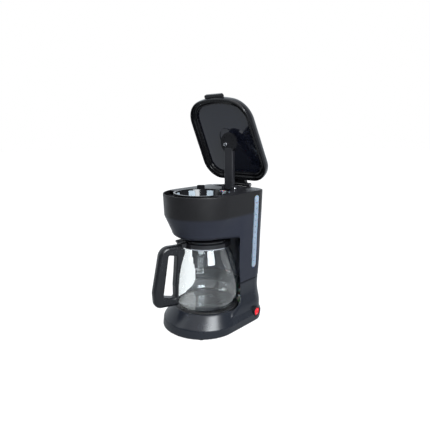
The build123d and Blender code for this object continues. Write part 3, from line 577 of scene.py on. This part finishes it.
# ---- small parts ----
def box_piece(name, low, high, material, body, bevel):
    """A closed box with rounded edges."""
    x0, y0, z0 = low
    x1, y1, z1 = high
    points = [(x, y, z) for x in (x0, x1) for y in (y0, y1) for z in (z0, z1)]
    faces = [(0, 1, 3, 2), (4, 6, 7, 5), (0, 4, 5, 1), (2, 3, 7, 6), (0, 2, 6, 4), (1, 5, 7, 3)]
    made = piece(name, points, faces, material, body, smooth=False)
    rounding = made.modifiers.new("bevel", "BEVEL")
    rounding.width = bevel
    rounding.segments = 2
    return made


def window_marks():
    """Short level lines on the water window, every second one longer."""
    low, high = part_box("water_window")
    steps = 11
    margin = 0.016
    foot_x = 0.0740
    thick = 0.0020
    half_tall = 0.0005
    tall = high[2] - low[2]
    y = (low[1] + high[1]) / 2 - 0.0018
    for i in range(steps):
        z = low[2] + margin + (tall - 2 * margin) * i / (steps - 1)
        share = (z - low[2]) / tall
        x = foot_x + 0.0005 + (high[0] - foot_x) * share
        wide = 0.0032 if i % 2 == 0 else 0.0018
        box_piece(f"window_mark_{i}", (x, y - wide / 2, z - half_tall),
                  (x + thick, y + wide / 2, z + half_tall), "mark_dark", "machine", 0.0002)


def switch_marks():
    """The usual line and ring on the rocker."""
    low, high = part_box("switch_rocker")
    thick = 0.0004
    ring_radius = 0.0017
    ring_segments = 28
    section = ((0, -0.0003), (thick, -0.0003), (thick, 0.0003), (0, 0.0003))
    x = high[0] - thick
    y = (low[1] + high[1]) / 2
    z = (low[2] + high[2]) / 2
    ring_z = z - 0.0040
    box_piece("switch_line", (x, y - 0.0005, z + 0.0022), (x + thick, y + 0.0005, z + 0.0056),
              "mark_white", "rocker", 0.0001)
    rows = []
    for i in range(ring_segments):
        a = 2 * pi * i / ring_segments
        rows.append([(x + dx, y + (ring_radius + dr) * cos(a), ring_z + (ring_radius + dr) * sin(a))
                     for dx, dr in section])
    points, faces = ring_of_profiles(rows)
    piece("switch_ring", points, faces, "mark_white", "rocker", smooth=False)


def funnel():
    """Drip funnel under the carafe's lid."""
    profile = ((0.0105, 0.0), (0.0098, -0.010), (0.0078, -0.024), (0.0052, -0.037), (0.0042, -0.037),
               (0.0068, -0.024), (0.0088, -0.010), (0.0095, 0.0))
    points, faces = turned(profile, FUNNEL_TOP, 64)
    piece("lid_funnel", points, faces, "milky_plastic", "carafe_lid")


def screws():
    """Two screws on the deck, and a cap on the right of the spray arm's pivot."""
    steel = ("bright_steel", "machine", "bright_steel")
    deck_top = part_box("top_deck")[1][2]
    for i, x in enumerate((0.064, -0.064)):
        dome(f"deck_screw_{i}", (x, 0.106, deck_top - 0.0001), (0, 0, 1), 0.0026, 0.0014, *steel)
    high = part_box("arm_pin")[1]
    dome("pivot_cap", (high[0] + 0.0004, *ARM_PIVOT_YZ), (1, 0, 0), 0.0030, 0.0012, *steel)


def hinge_cover():
    """Raised block on the deck, between the spray arm's pivot and the lid's hinge."""
    deck_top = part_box("top_deck")[1][2]
    profile = ((0.0, 0.0), (0.0, 0.0034), (0.0007, 0.0045), (0.0020, 0.0050),
               (0.0135, 0.0050), (0.0148, 0.0045), (0.0155, 0.0034), (0.0155, 0.0))
    rows = []
    for x, shrink in ((-0.0105, 0.80), (-0.0098, 0.94), (-0.0084, 1.0),
                      (0.0316, 1.0), (0.0332, 0.94), (0.0340, 0.80)):
        rows.append([(x, COVER_FRONT_Y + y, deck_top - 0.0004 + h * shrink) for y, h in profile])
    width = len(profile)
    points = [p for row in rows for p in row]
    faces = []
    for i in range(len(rows) - 1):
        for k in range(width):
            m = (k + 1) % width
            faces.append((i * width + k, i * width + m, (i + 1) * width + m, (i + 1) * width + k))
    faces.append(tuple(range(width)))
    faces.append(tuple(range(len(points) - 1, len(points) - 1 - width, -1)))
    piece("hinge_cover", points, faces, "black_satin", "machine", smooth=False)


# Where the casings' joins are relaxed: each row is a capsule's start, end and radius.
BASE_FILLETS = (
    ((0.076, 0.026, 0.0485), (0.081, 0.060, 0.0535), 0.024),
)
HEAD_FILLETS = (
    ((0.0785, 0.040, 0.2075), (0.0785, 0.042, 0.2105), 0.013),
    ((0.0795, 0.046, 0.2165), (0.0812, 0.046, 0.2545), 0.016),
)

paint_nodes()
make_lights()
softened("base_skin", ("base_shell",), 0.0015, BASE_FILLETS, 60, "base_black")
softened("head_skin", ("front_housing", "rear_housing"), 0.0014, HEAD_FILLETS, 40,
         "housing_black")
lid_frame()
window_marks()
switch_marks()
funnel()
screws()
hinge_cover()

floor_mesh = bpy.data.meshes.new("floor")
corners = [(x * FLOOR_HALF, y * FLOOR_HALF, 0) for x, y in ((-1, -1), (1, -1), (1, 1), (-1, 1))]
floor_mesh.from_pydata(corners, [], [(0, 1, 2, 3)])
floor_mesh.materials.append(floor_material())
floor = bpy.data.objects.new("floor", floor_mesh)
bpy.context.scene.collection.objects.link(floor)
